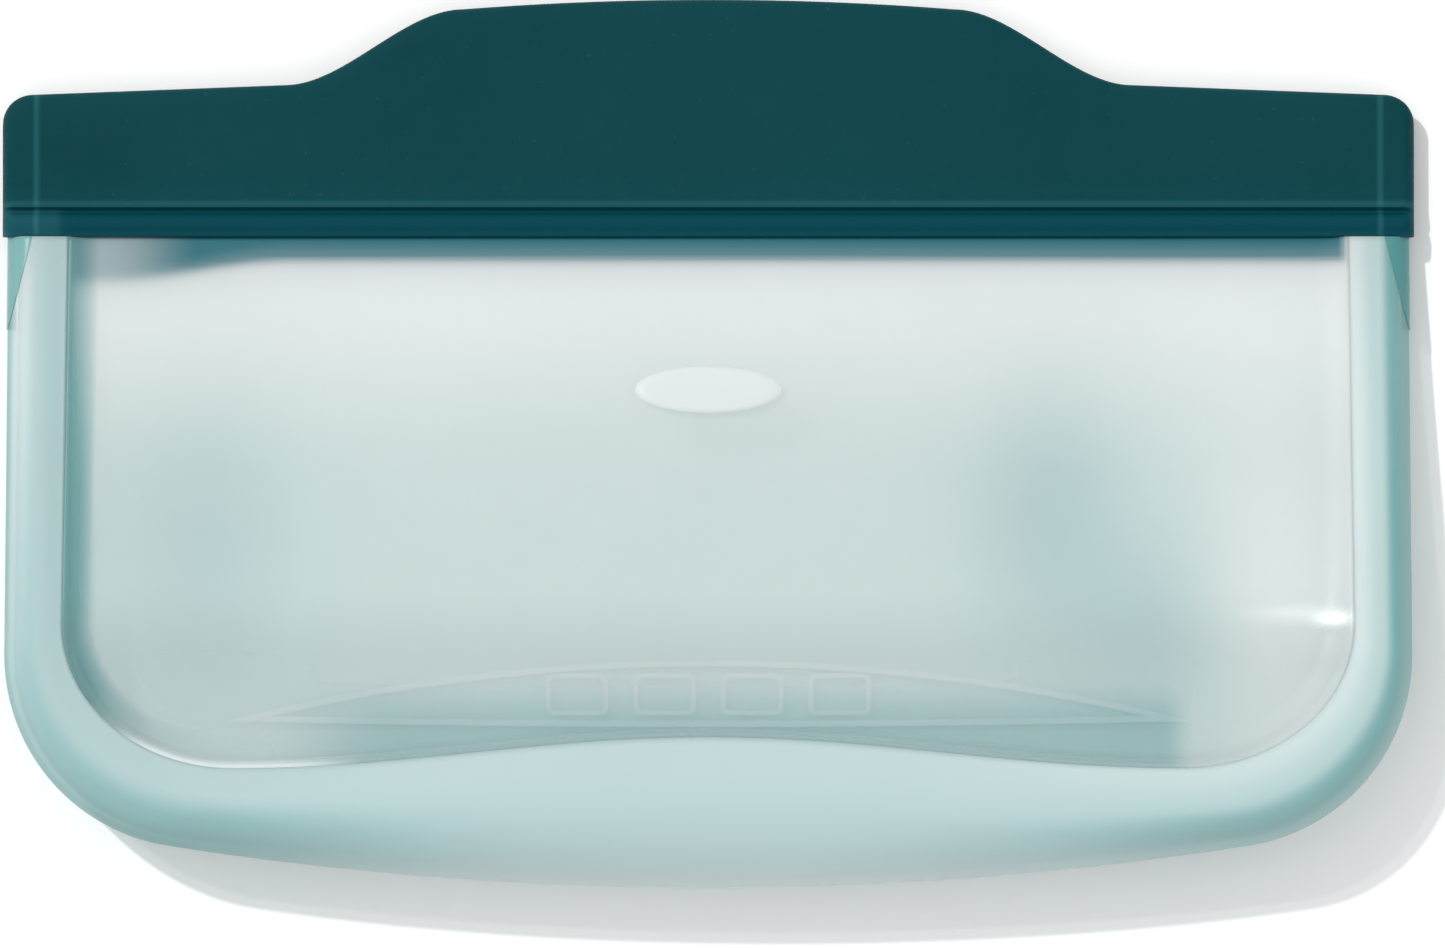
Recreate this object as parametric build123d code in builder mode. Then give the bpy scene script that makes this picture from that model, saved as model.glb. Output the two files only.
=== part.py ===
"""Reusable stand-up silicone bag with a pinch seal, lying on its back, in millimetres.

+X is the bag's right, +Y runs from the bottom gusset to the mouth, +Z comes out of the front wall.
The origin is the centre of the bag's outline, on the surface that the back wall lies on.
The skin is soft silicone. A dark lip with a pull tab is bonded to the front wall and another to the
back wall, and the ends of the two lips are welded together. The front wall and front lip are one
body that swings up about the crease above the bottom gusset, which opens the mouth.
"""

import os
from math import atan2, cos, degrees, radians, sqrt

from build123d import *

# Overall size
bag_width = 190.0
bag_length = 119.0
wall = 1.5
running_gap = 0.5  # between the front body's solids and the back body's

# Where things are along Y
tab_top_y = bag_length / 2
fold_y = -bag_length / 2
shoulder_end_y = 46.7
ridge_y = 31.7  # the seal zone ends here, and the flat lips begin
mouth_y = 27.6  # the skin ends here, and the dark lips begin
rib_start_y = 25.6
channel_start_y = 24.3
crease_y = -39.2  # the middle of the crease between front wall and bottom gusset

# Outline of the skin, seen from the front
side_x = 94.2
corner_radius = 26.0
fold_radius = 467.0

# The skin is a wedge between the back plane, which is level, and the rim's tilted crest plane
wedge_angle = 12.0
apex_y = 63.8  # the two planes meet on this line
section_count = 5
edge_inset = 7.0  # how far the flat faces lie inside the outline
lip_clearance_y = 6.0  # the outer wedge runs this far past the mouth before it is trimmed
inner_overrun_y = 12.0

# The window in the front of the skin, which the front wall fills
window_x = 86.0
window_corner_radius = 15.0
window_low_y = -43.5

# Heights of the front wall's outer face, just below the rim's crest
wall_top_at_mouth = 7.4
wall_top_at_crease = 18.6

# Lips
lip_thickness = 3.0
lip_gap = 0.4
weld_width = 4.7
lip_corner_radius = 4.2
tab_foot = (57.0, 48.0)  # the tab's slope leaves the shoulder here
tab_slope = (45.5, 53.4)
tab_shoulder = (33.0, 58.2)  # the slope meets the tab's crowned top here
web_width = 3.4
web_length = 12.5

# The front lip's band over the seal, as heights above the front wall's edge
ridge_width = 1.4
ridge_height = 0.8
band_groove_width = 0.9
band_groove_depth = 0.6

# Pinch seal: two rows of rib and groove
seal_part_z = 3.75  # the ribbed half is above this height and the grooved half below it
seal_gap = 0.3  # between the two halves, pressed together
seal_half_length = 85.4
rib_radius = 0.9
groove_radius = 1.2
rib_rows_y = (27.0, 30.0)

# Raised details
badge_size = (19.6, 6.4)
badge_y = 6.9
badge_height = 0.5
lens_half_length = 65.0
lens_end_y = -37.6
lens_upper_rise = 8.2
lens_lower_rise = 0.8
lens_line_width = 0.8
lens_height = 0.5
mark_size = (8.4, 5.6)
mark_corner_radius = 1.2
mark_line_width = 0.6
mark_height = 0.4
mark_pitch = 11.8
mark_count = 4
mark_y = -34.0

reach_z = 40.0  # taller than anything in the bag, for shapes that are cut to height afterwards
wall_slope = (wall_top_at_crease - wall_top_at_mouth) / (mouth_y - crease_y)
lips_top_z = 2 * lip_thickness + lip_gap
front_lip_z = lip_thickness + lip_gap
front_wall_low_z = wall_top_at_mouth - wall
weld_start_x = bag_width / 2 - weld_width
front_lip_end_x = weld_start_x - running_gap
gusset_end_y = fold_y + corner_radius


def wall_plane(y, lift):
    """The front wall's outer face, centred at y and moved up by lift, with its normal up."""
    height = wall_top_at_mouth + wall_slope * (mouth_y - y) + lift
    return Plane(origin=(0, y, height), x_dir=(1, 0, 0), z_dir=(0, wall_slope, 1))


def facing(point, direction):
    """A cutting plane through a point."""
    return Plane(origin=point, z_dir=direction)


# The widest section is tilted by half the wedge angle, and its fold reaches fold_y
fold_from_apex = (fold_y - apex_y) / cos(radians(wedge_angle / 2))


def skin_outline(inset, top):
    """The bag's outline on a plane whose y starts at the apex line: two sides, two corners, the fold."""
    fold_centre = fold_from_apex + fold_radius
    corner_x = side_x - corner_radius
    corner_y = fold_centre - sqrt((fold_radius - corner_radius) ** 2 - corner_x**2)
    turn = degrees(atan2(corner_y - fold_centre, corner_x))
    side = side_x - inset
    Line((side, top), (side, corner_y))
    CenterArc((corner_x, corner_y), corner_radius - inset, 0, turn)
    CenterArc((0, fold_centre), fold_radius - inset, turn, -(180 + 2 * turn))
    CenterArc((-corner_x, corner_y), corner_radius - inset, -180 - turn, turn)
    Line((-side, corner_y), (-side, top))
    Line((-side, top), (side, top))


def wedge(inset, overrun):
    """The skin's solid, inset all round, lofted through sections that turn about the apex line."""
    with BuildPart() as body:
        for k in range(section_count):
            share = k / (section_count - 1)
            section = Plane(origin=(0, apex_y, 0)).rotated((-wedge_angle * share, 0, 0))
            section = section.offset(inset * (1 - 2 * share))
            with BuildSketch(section):
                with BuildLine():
                    skin_outline(edge_inset * (2 * share - 1) ** 2 + inset, mouth_y - apex_y + overrun)
                make_face()
        loft()
    return body.part


def window_outline(inset):
    """The crease: two sides, two corners, and a bottom line that rises to its middle."""
    side = window_x - inset
    low = window_low_y + inset
    top = mouth_y + inset
    corner = window_corner_radius - inset
    Line((side, top), (side, low + corner))
    RadiusArc((side, low + corner), (side - corner, low), corner)
    Spline(
        (side - corner, low),
        (0, crease_y + inset),
        (corner - side, low),
        tangents=[(-1, 0), (-1, 0)],
    )
    RadiusArc((corner - side, low), (-side, low + corner), corner)
    Line((-side, low + corner), (-side, top))
    Line((-side, top), (side, top))


def window_prism(inset):
    """The window's outline as an upright block."""
    with BuildPart() as block:
        with BuildSketch():
            with BuildLine():
                window_outline(inset)
            make_face()
        extrude(amount=reach_z)
    return block.part


def lip_blank(low_z, high_z, start_y):
    """A lip's full plan from start_y up to its shoulders and the pull tab, between two heights."""
    half_width = bag_width / 2
    shoulder_x, shoulder_y = tab_shoulder
    crown_rise = tab_top_y - shoulder_y
    crown_radius = (shoulder_x**2 + crown_rise**2) / (2 * crown_rise)
    corner = lip_corner_radius
    corner_start = (half_width, shoulder_end_y - corner)
    corner_end = (half_width - corner, shoulder_end_y)
    with BuildPart() as lip:
        with BuildSketch(Plane.XY.offset(low_z)):
            with BuildLine():
                Line((0, start_y), (half_width, start_y))
                Line((half_width, start_y), corner_start)
                RadiusArc(corner_start, corner_end, -corner)
                Line(corner_end, tab_foot)
                Spline(
                    tab_foot,
                    tab_slope,
                    tab_shoulder,
                    tangents=[(-1, 0.05), (-crown_radius, shoulder_x)],
                )
                RadiusArc(tab_shoulder, (0, tab_top_y), -crown_radius)
                mirror(about=Plane.YZ)
            make_face()
        extrude(amount=high_z - low_z)
    return lip.part


def save(piece, name):
    """Labels a finished piece and writes it."""
    piece.label = name
    export_step(piece, f"parts/{name}.step")


os.makedirs("parts", exist_ok=True)

# --- the skin: back wall, bottom gusset, side gussets and corner webs --------------------

outer_wedge = wedge(0, lip_clearance_y)
inner_wedge = wedge(wall, inner_overrun_y)
window_hole = window_prism(0)

with BuildPart() as step_ring:
    # the step down from the rim's crest to the front wall, cut level with the wall's inner face
    add(window_prism(-wall))
    add(window_hole, mode=Mode.SUBTRACT)
    add(outer_wedge, mode=Mode.INTERSECT)
    split(bisect_by=wall_plane(mouth_y, -wall), keep=Keep.TOP)

with BuildPart() as front_cutter:
    add(window_hole)
    split(bisect_by=wall_plane(mouth_y, -2 * wall), keep=Keep.TOP)

with BuildPart() as skin:
    add(outer_wedge)
    add(inner_wedge, mode=Mode.SUBTRACT)
    add(front_cutter.part, mode=Mode.SUBTRACT)
    add(step_ring.part)
    split(bisect_by=facing((0, mouth_y, 0), (0, 1, 0)), keep=Keep.BOTTOM)

with BuildPart() as back_panel:
    # the flat of the back, as far as the rim's inner edge
    with BuildSketch():
        with BuildLine():
            window_outline(0)
        make_face()
    extrude(amount=wall)

with BuildPart() as back_wall:
    add(skin.part)
    add(back_panel.part, mode=Mode.INTERSECT)

with BuildPart() as rim:
    add(skin.part)
    add(back_panel.part, mode=Mode.SUBTRACT)

with BuildPart() as bottom_gusset:
    add(rim.part)
    split(bisect_by=facing((0, gusset_end_y, 0), (0, 1, 0)), keep=Keep.BOTTOM)


def side_gusset(side):
    """One side of the rim, from the bottom gusset up to the mouth, with its corner web cut off."""
    with BuildPart() as web_corner:
        with BuildSketch():
            with BuildLine():
                Polyline(
                    (side * (side_x - web_width), mouth_y),
                    (side * (side_x + web_width), mouth_y),
                    (side * (side_x + web_width), mouth_y - 2 * web_length),
                    close=True,
                )
            make_face()
        extrude(amount=reach_z)
    with BuildPart() as half:
        add(rim.part)
        split(bisect_by=facing((0, gusset_end_y, 0), (0, 1, 0)), keep=Keep.TOP)
        split(bisect_by=facing((0, 0, 0), (side, 0, 0)), keep=Keep.TOP)
    with BuildPart() as web:
        add(half.part)
        add(web_corner.part, mode=Mode.INTERSECT)
    with BuildPart() as gusset:
        add(half.part)
        add(web_corner.part, mode=Mode.SUBTRACT)
    return gusset.part, web.part


save(back_wall.part, "back_wall")
save(bottom_gusset.part, "bottom_gusset")
for side, side_name in ((-1, "left"), (1, "right")):
    gusset, web = side_gusset(side)
    save(gusset, f"{side_name}_side_gusset")
    save(web, f"{side_name}_corner_web")

# --- the lips and the welds at their ends ------------------------------------------------


def strip(points, half_length):
    """A bar along X whose section is given by (y, z) points."""
    with BuildPart() as bar:
        with BuildSketch(Plane.YZ):
            with BuildLine():
                Polyline(*points, close=True)
            make_face()
        extrude(amount=half_length, both=True)
    return bar.part


def beyond(side, x):
    """Cuts the current part down to what lies further out than x on one side."""
    split(bisect_by=facing((side * x, 0, 0), (side, 0, 0)), keep=Keep.TOP)


ridge_end_y = ridge_y + ridge_width
band_groove_y = ridge_y - band_groove_width
ridge_top_z = lips_top_z + ridge_height
band_points = (
    (mouth_y, front_wall_low_z),
    (mouth_y, wall_top_at_mouth),
    (band_groove_y, ridge_top_z),
    (band_groove_y, ridge_top_z - band_groove_depth),
    (ridge_y, ridge_top_z - band_groove_depth),
    (ridge_y, ridge_top_z),
    (ridge_end_y, lips_top_z),
    (ridge_end_y, front_wall_low_z),
)

with BuildPart() as back_lip:
    # full thickness above the ridge, and thin under the seal
    add(lip_blank(0, lip_thickness, ridge_y))
    add(lip_blank(0, wall, mouth_y))

with BuildPart() as front_lip:
    add(lip_blank(front_lip_z, lips_top_z, ridge_y))
    add(strip(band_points, bag_width / 2))
    for side in (-1, 1):
        split(bisect_by=facing((side * front_lip_end_x, 0, 0), (side, 0, 0)), keep=Keep.BOTTOM)

save(back_lip.part, "back_lip")
save(front_lip.part, "front_lip")

# each weld fills its end of the mouth above the back lip, with a plug that closes the seal's end
plug_top_z = front_wall_low_z - seal_gap
plug_start_x = seal_half_length + running_gap
for side, side_name in ((-1, "left"), (1, "right")):
    with BuildPart() as end_weld:
        add(lip_blank(lip_thickness, lips_top_z, ridge_y))
        add(lip_blank(wall, lips_top_z, mouth_y))
        add(lip_blank(wall, lip_thickness, ridge_y), mode=Mode.SUBTRACT)
        beyond(side, weld_start_x)
    with BuildPart() as plug:
        with BuildSketch(Plane.XY.offset(wall)):
            with BuildLine():
                Polyline(
                    (side * plug_start_x, mouth_y),
                    (side * weld_start_x, mouth_y),
                    (side * weld_start_x, ridge_y),
                    (side * plug_start_x, ridge_y),
                    close=True,
                )
            make_face()
        extrude(amount=plug_top_z - wall)
    with BuildPart() as whole_weld:
        add(end_weld.part)
        add(plug.part)
    save(whole_weld.part, f"{side_name}_end_weld")

# --- the pinch seal ----------------------------------------------------------------------

channel_top_z = seal_part_z - seal_gap / 2
rib_base_z = seal_part_z + seal_gap / 2
rib_start_top_z = front_wall_low_z + wall_slope * (mouth_y - rib_start_y)

with BuildPart() as seal_channel:
    add(
        strip(
            (
                (channel_start_y, wall),
                (ridge_y, wall),
                (ridge_y, channel_top_z),
                (channel_start_y, channel_top_z),
            ),
            seal_half_length,
        )
    )
    for row_y in rib_rows_y:
        with BuildSketch(Plane.YZ):
            with Locations((row_y, channel_top_z)):
                Circle(groove_radius)
        extrude(amount=seal_half_length, both=True, mode=Mode.SUBTRACT)

with BuildPart() as seal_rib:
    add(
        strip(
            (
                (rib_start_y, rib_base_z),
                (ridge_y, rib_base_z),
                (ridge_y, front_wall_low_z),
                (mouth_y, front_wall_low_z),
                (rib_start_y, rib_start_top_z),
            ),
            seal_half_length,
        )
    )
    for row_y in rib_rows_y:
        with BuildSketch(Plane.YZ):
            with Locations((row_y, rib_base_z)):
                Circle(rib_radius)
        extrude(amount=seal_half_length, both=True)

save(seal_channel.part, "seal_channel")
save(seal_rib.part, "seal_rib")

# --- the front wall and the raised details -----------------------------------------------

with BuildPart() as front_wall:
    add(window_prism(running_gap))
    split(bisect_by=wall_plane(mouth_y, 0), keep=Keep.BOTTOM)
    split(bisect_by=wall_plane(mouth_y, -wall), keep=Keep.TOP)
    split(bisect_by=facing((0, mouth_y, 0), (0, 1, 0)), keep=Keep.BOTTOM)

with BuildPart() as oval_badge:
    with BuildSketch(wall_plane(badge_y, 0)):
        Ellipse(badge_size[0] / 2, badge_size[1] / 2)
    extrude(amount=badge_height)

with BuildPart() as base_outline:
    # a lens between two arcs, of which only the edge stands up
    with BuildSketch(Plane.XY.offset(wall)):
        with BuildLine():
            left_tip = (-lens_half_length, lens_end_y)
            right_tip = (lens_half_length, lens_end_y)
            ThreePointArc(left_tip, (0, lens_end_y + lens_upper_rise), right_tip)
            ThreePointArc(right_tip, (0, lens_end_y - lens_lower_rise), left_tip)
        make_face()
        offset(amount=-lens_line_width, kind=Kind.INTERSECTION, mode=Mode.SUBTRACT)
    extrude(amount=lens_height)

with BuildPart() as care_marks:
    with BuildSketch(Plane(origin=(0, mark_y, wall))):
        with GridLocations(mark_pitch, 0, mark_count, 1):
            RectangleRounded(*mark_size, mark_corner_radius)
        with GridLocations(mark_pitch, 0, mark_count, 1):
            RectangleRounded(
                mark_size[0] - 2 * mark_line_width,
                mark_size[1] - 2 * mark_line_width,
                mark_corner_radius - mark_line_width,
                mode=Mode.SUBTRACT,
            )
    extrude(amount=mark_height)

save(front_wall.part, "front_wall")
save(oval_badge.part, "oval_badge")
save(base_outline.part, "base_outline")
save(care_marks.part, "care_marks")
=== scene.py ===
"""The looks of the reusable silicone bag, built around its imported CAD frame.

The bag lies on its back. +X is across, +Y runs to the mouth and +Z comes out of the front wall.
Lengths in this file are millimetres until mesh_object() turns them into metres.
"""

from math import atan2, pi, radians, sqrt

import bpy
import numpy as np
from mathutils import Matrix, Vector


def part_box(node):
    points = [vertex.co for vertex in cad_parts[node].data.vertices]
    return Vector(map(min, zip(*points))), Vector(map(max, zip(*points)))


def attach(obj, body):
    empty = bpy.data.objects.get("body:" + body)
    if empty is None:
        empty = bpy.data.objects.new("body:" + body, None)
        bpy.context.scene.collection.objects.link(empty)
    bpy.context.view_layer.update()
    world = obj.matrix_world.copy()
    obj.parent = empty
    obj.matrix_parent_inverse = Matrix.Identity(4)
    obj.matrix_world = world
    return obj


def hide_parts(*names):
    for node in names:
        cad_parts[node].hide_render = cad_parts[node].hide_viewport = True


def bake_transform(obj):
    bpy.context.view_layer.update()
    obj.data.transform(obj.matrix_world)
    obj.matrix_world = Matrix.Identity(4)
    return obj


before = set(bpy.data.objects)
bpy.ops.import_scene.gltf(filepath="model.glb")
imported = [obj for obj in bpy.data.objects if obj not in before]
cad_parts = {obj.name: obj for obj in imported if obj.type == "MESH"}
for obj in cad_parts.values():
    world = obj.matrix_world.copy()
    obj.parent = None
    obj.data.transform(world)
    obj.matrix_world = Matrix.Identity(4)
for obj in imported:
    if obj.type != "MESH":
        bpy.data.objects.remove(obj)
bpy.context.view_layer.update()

MM = 0.001
BACK = "bag_back"
FRONT = "bag_front"


def cad_box(node):
    """A CAD node's lowest and highest corners, in millimetres."""
    low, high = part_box(node)
    return np.array(low) / MM, np.array(high) / MM


# --- sizes, worked out from the frame ----------------------------------------------------

wall_low, wall_high = cad_box("back_wall")
gusset_low, gusset_high = cad_box("bottom_gusset")
channel_low, channel_high = cad_box("seal_channel")
badge_low, badge_high = cad_box("oval_badge")
web_low, web_high = cad_box("right_corner_web")
rib_low = cad_box("seal_rib")[0]
lip_high = cad_box("back_lip")[1]
front_lip_high = cad_box("front_lip")[1]
weld_high = cad_box("right_end_weld")[1]
panel_high = cad_box("front_wall")[1]

WALL = 1.4  # thickness of the visible skin, a little less than the CAD's
MOUTH_Y = wall_high[1]
FOLD_Y = gusset_low[1]
CREST_Z = gusset_high[2]
SIDE_X = web_high[0]
CREASE_X = wall_high[0]
CREASE_MIDDLE_Y = -39.2  # the crease swings up to here in the middle of the fold
CREASE_LOW_Y = wall_low[1] + 0.2
RIDGE_Y = channel_high[1]
LIP_X = lip_high[0]
LIP_TOP_Y = lip_high[1]
WELD_X = front_lip_high[0] + 0.5
SEAL_X = channel_high[0]
LIPS_TOP_Z = weld_high[2]

CORNER_RADIUS = 26.0
FOLD_RADIUS = 467.0  # the fold is a very flat arc
CREASE_CORNER = (23.0, 19.3)  # how far the crease's corner reaches along X and along Y
CREASE_STEP = 0.8  # the crease lies this far below the rim's crest
SLOPE_WIDTH = 4.0  # the front wall falls from the crease to its panel over this width
LIP_GAP = 0.1  # between the two lips when they are closed

# the back is level and the rim's crest lies on a plane that rises towards the fold
MOUTH_CREST_Z = 7.3
FOLD_TO_CREST = 9.0  # the plane reaches its full height this far in from the fold
CREST_RISE = (CREST_Z - MOUTH_CREST_Z) / (MOUTH_Y - (FOLD_Y + FOLD_TO_CREST))
PANEL_MOUTH_Z = 6.2
PANEL_RISE = (panel_high[2] - PANEL_MOUTH_Z) / (MOUTH_Y - CREASE_LOW_Y)


def crest_height(y):
    """Height of the rim's crest at y."""
    return MOUTH_CREST_Z + CREST_RISE * (MOUTH_Y - y)


def smoothstep(t):
    """0 before t = 0, 1 after t = 1, and smooth between."""
    t = np.clip(t, 0.0, 1.0)
    return t * t * (3 - 2 * t)


# --- mesh helpers ------------------------------------------------------------------------


def mesh_object(name, points, faces, tint=None):
    """An object from points in millimetres, with an optional tint value for each point."""
    mesh = bpy.data.meshes.new(name)
    mesh.from_pydata([tuple(p * MM) for p in points], [], faces)
    mesh.validate()
    mesh.polygons.foreach_set("use_smooth", [True] * len(mesh.polygons))
    obj = bpy.data.objects.new(name, mesh)
    if tint is not None:
        set_field(obj, "tint", tint)
    bpy.context.scene.collection.objects.link(obj)
    return obj


def set_field(obj, name, values):
    """A number for each point of a mesh, which its material can read."""
    layer = obj.data.attributes.new(name, "FLOAT", "POINT")
    layer.data.foreach_set("value", np.asarray(values, dtype=np.float32).ravel())


def grid_faces(rows, columns, offset=0, flip=False, wrap=False):
    """The quads of a grid of rows by columns points, stored row by row."""
    faces = []
    for i in range(rows - 1):
        for j in range(columns if wrap else columns - 1):
            k = (j + 1) % columns
            quad = [i * columns + j, i * columns + k, (i + 1) * columns + k, (i + 1) * columns + j]
            quad = [offset + index for index in quad]
            faces.append(quad[::-1] if flip else quad)
    return faces


def border_faces(rows, columns, sides, flip=False):
    """The quads that join the border of one grid to that of a second one stored after it."""
    step = rows * columns
    borders = {
        "first_row": list(range(columns)),
        "last_row": [(rows - 1) * columns + j for j in range(columns)][::-1],
        "first_column": [i * columns for i in range(rows)][::-1],
        "last_column": [i * columns + columns - 1 for i in range(rows)],
    }
    faces = []
    for side in sides:
        line = borders[side]
        for a, b in zip(line, line[1:]):
            quad = [b, a, a + step, b + step]
            faces.append(quad[::-1] if flip else quad)
    return faces


ALL_BORDERS = ("first_row", "last_row", "first_column", "last_column")


def shell_object(name, outer, inner, closed=(), flip=False, tint=None):
    """A skin between two grids of the same shape, closed along the named borders."""
    rows, columns = outer.shape[:2]
    points = np.concatenate([outer.reshape(-1, 3), inner.reshape(-1, 3)])
    faces = grid_faces(rows, columns, flip=flip)
    faces += grid_faces(rows, columns, offset=rows * columns, flip=not flip)
    faces += border_faces(rows, columns, closed, flip=flip)
    if tint is not None:
        tint = np.concatenate([tint.ravel(), tint.ravel()])
    return mesh_object(name, points, faces, tint=tint)


# --- the outline of the skin and the crease inside it ------------------------------------

SIDE_COUNT = 70
CORNER_COUNT = 48
BOTTOM_COUNT = 70


def plan_line(x, y):
    """Plan points from their x and y values."""
    return np.column_stack(np.broadcast_arrays(x, y))


def plan_arc(centre, radius_x, radius_y, angle):
    """Plan points on an arc."""
    return plan_line(centre[0] + radius_x * np.cos(angle), centre[1] + radius_y * np.sin(angle))


def half_outlines():
    """The left half of the outline and of the crease, point for point, from the mouth to the middle."""
    fold_centre = (0.0, FOLD_Y + FOLD_RADIUS)
    corner_x = SIDE_X - CORNER_RADIUS
    corner_y = fold_centre[1] - sqrt((FOLD_RADIUS - CORNER_RADIUS) ** 2 - corner_x**2)
    turn = atan2(fold_centre[1] - corner_y, corner_x)
    crease_x = CREASE_X - CREASE_CORNER[0]
    crease_y = CREASE_LOW_Y + CREASE_CORNER[1]

    share = np.linspace(0, 1, SIDE_COUNT, endpoint=False)
    outer = [plan_line(-SIDE_X, MOUTH_Y + (corner_y - MOUTH_Y) * share)]
    crease = [plan_line(-CREASE_X, MOUTH_Y + (crease_y - MOUTH_Y) * share)]

    share = np.linspace(0, 1, CORNER_COUNT, endpoint=False)
    outer.append(plan_arc((-corner_x, corner_y), CORNER_RADIUS, CORNER_RADIUS, pi + share * turn))
    crease.append(plan_arc((-crease_x, crease_y), *CREASE_CORNER, pi + share * pi / 2))

    share = np.linspace(0, 1, BOTTOM_COUNT)
    angle = pi + turn + share * (pi / 2 - turn)
    outer.append(plan_arc(fold_centre, FOLD_RADIUS, FOLD_RADIUS, angle))
    x = -crease_x * (1 - share)
    rise = (CREASE_MIDDLE_Y - CREASE_LOW_Y) * (1 + np.cos(pi * x / crease_x)) / 2
    crease.append(plan_line(x, CREASE_LOW_Y + rise))
    return np.concatenate(outer), np.concatenate(crease)


half_outer, half_crease = half_outlines()
MIRROR = np.array([-1.0, 1.0])
outer_line = np.concatenate([half_outer, (half_outer * MIRROR)[-2::-1]])
crease_line = np.concatenate([half_crease, (half_crease * MIRROR)[-2::-1]])


STEP_AT_MOUTH = 0.4  # the share of the crease's step that is left at the mouth
STEP_GROWTH = 30.0  # the step is full this far from the mouth


def crease_height(y):
    """Height of the crease at y: a little below the crest, and less so near the mouth."""
    share = STEP_AT_MOUTH + (1 - STEP_AT_MOUTH) * smoothstep((MOUTH_Y - y) / STEP_GROWTH)
    return crest_height(y) - CREASE_STEP * share


# --- the rim: bottom gusset and side gussets ---------------------------------------------

ARC_COUNT = 14
FLAT_COUNT = 4
CREST_SHARE = 0.45  # where the crest is, between the outline and the crease
ROUNDNESS = 2.2  # above 2, the rim is squarer than an ellipse
CREST_FALL = 1.8  # the power of the curve that falls from the crest to the crease
# how teal each side of the rim is, over its width from the outline (0) to the crease (1),
# with painted shade on the right towards its outer edge and on the left's inner slope, a painted
# highlight band on the left's outer slope and a painted lighter outer edge at the bottom:
# the level, bands by (centre, width, height), and the outer edge by (start, width, height)
RIM_TEAL_AND_SHADE = {
    "left": (0.44, ((0.8, 0.3, 0.16), (0.27, 0.12, -0.2)), (0.16, 0.12, 0.5)),
    "right": (0.2, ((0.62, 0.22, 0.3),), (0.55, 0.22, 0.7)),
    "bottom": (0.46, ((0.45, 0.3, 0.06),), (0.25, 0.2, -0.12)),
}
CORNER_SHADE = (1.7, 0.6)  # painted shade that the left and the right bottom corner add
CORNER_SHADE_EDGE = (0.7, 0.4)  # where that starts, and how far it takes to be full


def rim_section(length, crest, crease_z):
    """(distance in from the outline, height) round the rim, from under the crease to the crease."""
    angle = np.linspace(0, pi / 2, ARC_COUNT)
    curve_x = 1 - np.cos(angle) ** (2 / ROUNDNESS)
    curve_z = np.sin(angle) ** (2 / ROUNDNESS)
    reach = CREST_SHARE * length
    middle = crest / 2
    under = np.linspace(length, reach, FLAT_COUNT, endpoint=False)
    along = np.concatenate([under, (reach * curve_x)[::-1], (reach * curve_x)[1:]])
    lower = (middle * (1 - curve_z))[::-1]
    upper = (middle * (1 + curve_z))[1:]
    height = np.concatenate([0 * under, lower, upper])
    share = np.linspace(0, 1, ARC_COUNT)[1:]
    along = np.concatenate([along, reach + (length - reach) * share])
    height = np.concatenate([height, crest - (crest - crease_z) * share**CREST_FALL])
    return along, height


def inner_section(along, height, thickness):
    """The same section, moved into the rim by a thickness."""
    slope_a = np.gradient(along)
    slope_h = np.gradient(height)
    size = np.hypot(slope_a, slope_h)
    return along + thickness * slope_h / size, height - thickness * slope_a / size


def hill(value, centre, width, height):
    """A smooth rise and fall round one value."""
    return height * np.exp(-(((value - centre) / width) ** 2))


def side_teal_and_shade(side, share):
    """How teal one side of the rim is, with its painted shade and highlight, from its outline (share 0)
    to the crease (share 1).
    """
    level, bands, (start, width, height) = RIM_TEAL_AND_SHADE[side]
    edge = height * smoothstep((start - share) / width)
    return level + sum(hill(share, *band) for band in bands) + edge


def rim_teal_and_shade(share, inward):
    """How teal the rim is, with its painted shade and highlight, mixed from its three sides by the
    direction to the crease.
    """
    left = max(inward[0], 0) ** 2
    right = max(-inward[0], 0) ** 2
    bottom = max(inward[1], 0) ** 2
    start, width = CORNER_SHADE_EDGE
    corner = (CORNER_SHADE[0] * left + CORNER_SHADE[1] * right) * bottom
    corner = corner * smoothstep((start - share) / width)
    tint = left * side_teal_and_shade("left", share)
    tint = tint + right * side_teal_and_shade("right", share)
    tint = tint + bottom * side_teal_and_shade("bottom", share)
    return np.clip(tint + corner, 0, 1)


def build_rim():
    """The tube round three sides of the bag, as one skin."""
    outer = []
    inner = []
    tint = []
    for edge, crease in zip(outer_line, crease_line):
        across = crease - edge
        length = np.hypot(*across)
        direction = across / length
        crest_y = edge[1] + direction[1] * CREST_SHARE * length
        crest = min(crest_height(crest_y), CREST_Z)
        along, height = rim_section(length, crest, crease_height(crease[1]))
        for side, values in ((outer, (along, height)), (inner, inner_section(along, height, WALL))):
            plan = edge + np.outer(values[0], direction)
            side.append(np.column_stack([plan, values[1]]))
        tint.append(rim_teal_and_shade(along / length, direction))
    rim = shell_object(
        "gusset_rim",
        np.array(outer),
        np.array(inner),
        closed=ALL_BORDERS,
        flip=True,
        tint=np.array(tint),
    )
    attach(rim, BACK)
    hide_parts("bottom_gusset", "left_side_gusset", "right_side_gusset")
    return rim


# --- the front wall, in two halves that meet in the middle -------------------------------


def bow(obj):
    """Bakes one half's transform into its mesh."""
    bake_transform(obj)


WALL_ROWS = 110
WALL_COLUMNS = 120
SLACK_START = 25.0  # the panel is taut at the mouth and fully loose this far from it
# where the loose panel dips or swells: centre x and y, width, length, depth
DIPS = (
    (-66.0, -14.0, 14.0, 20.0, 1.0),
    (47.0, -10.0, 11.0, 18.0, 1.3),
    (61.0, -26.0, 11.0, 13.0, 1.05),
)
CROWN = (-8.0, -14.0, 46.0, 36.0, -1.2)
PINCH = (84.0, -23.8, 2.8, 1.4, -0.5)


def hollow(x, y, shape):
    """A soft hollow, or a swelling where its depth is below 0."""
    centre_x, centre_y, width, length, depth = shape
    return depth * np.exp(-(((x - centre_x) / width) ** 2) - ((y - centre_y) / length) ** 2)


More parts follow.
